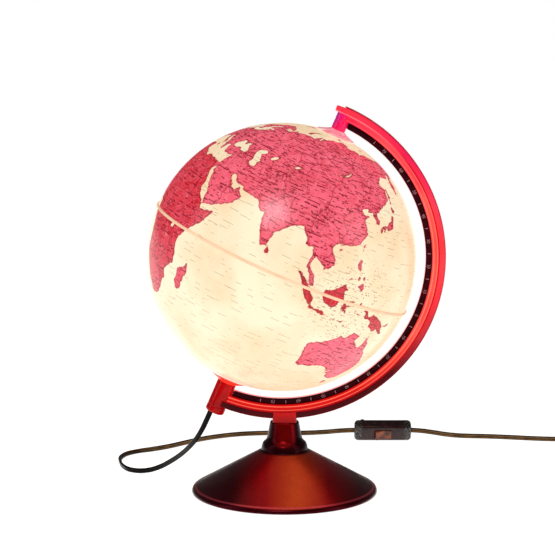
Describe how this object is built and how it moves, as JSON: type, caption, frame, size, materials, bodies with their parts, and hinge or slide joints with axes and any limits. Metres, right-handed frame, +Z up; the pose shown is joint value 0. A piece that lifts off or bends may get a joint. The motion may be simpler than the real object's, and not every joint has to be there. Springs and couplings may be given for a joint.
{
  "type": "desktop globe on stand",
  "caption": "Illuminated desktop globe: a translucent ball turns on a tilted axis in a half-circle arm on a conical stand, with a corded lamp and inline switch.",
  "frame": {"origin": "centre of the stand's underside", "axes": "+Z up; the meridian arm lies in the XZ plane and bulges to +X; -Y is the front, towards the viewer"},
  "size_m": [0.573, 0.4744, 0.381],
  "materials": {
    "ball": "satin translucent, printed map",
    "seam": "satin",
    "arm": "glossy translucent",
    "scale_strip": "satin, graduated",
    "post": "glossy translucent",
    "pale_flange": "glossy translucent",
    "housing": "glossy translucent",
    "base": "glossy",
    "stem": "glossy",
    "foot": "matte foam",
    "steel": "turned",
    "iron": "rough",
    "brass": "bright",
    "white_plastic": "satin",
    "lamp_glass": "frosted",
    "cord": "glossy translucent sheath over copper",
    "smoky": "glossy smoky translucent",
    "rocker": "glossy",
    "clamp": "satin"
  },
  "bodies": {
    "stand": {"meridian_arm": "arm", "scale_front": "scale_strip", "scale_back": "scale_strip", "north_post": "post", "lamp_housing": "housing", "south_flange": "housing", "base_shell": "base", "arm_stem": "stem", "base_pad": "foot", "base_screw": "steel", "base_washer": "steel", "north_pin": "steel", "bulb_cap": "steel", "switch_screw_1": "steel", "switch_screw_2": "steel", "base_weight": "iron", "socket_shell": "brass", "socket_contact": "brass", "switch_contact_1": "brass", "switch_contact_2": "brass", "plug_pin_1": "brass", "plug_pin_2": "brass", "lamp_holder": "white_plastic", "cord_grip": "white_plastic", "cord_tie": "white_plastic", "bulb_glass": "lamp_glass", "cord_lead": "cord", "cord_tail": "cord", "cord_coil": "cord", "cord_end": "cord", "cord_inner": "cord", "switch_front": "smoky", "switch_back": "smoky", "plug_body": "smoky", "switch_clamp_1": "clamp", "switch_clamp_2": "clamp"},
    "ball": {"hemisphere_north": "ball", "hemisphere_south": "ball", "equator_band": "seam", "north_flange": "pale_flange", "south_ring": "white_plastic"},
    "rocker": {"switch_rocker": "rocker"}
  },
  "joints": [
    {"name": "ball_spin", "type": "hinge", "parent": "stand", "child": "ball", "pos_m": [-0.0025, 0, 0.2335], "axis": [0.3987, 0, 0.9171], "continuous": true},
    {"name": "rocker_tilt", "type": "hinge", "parent": "stand", "child": "rocker", "pos_m": [0.1076, 0.21696, 0.00925], "axis": [0, -0.4226, 0.9063], "range_deg": [-16, 0]}
  ]
}
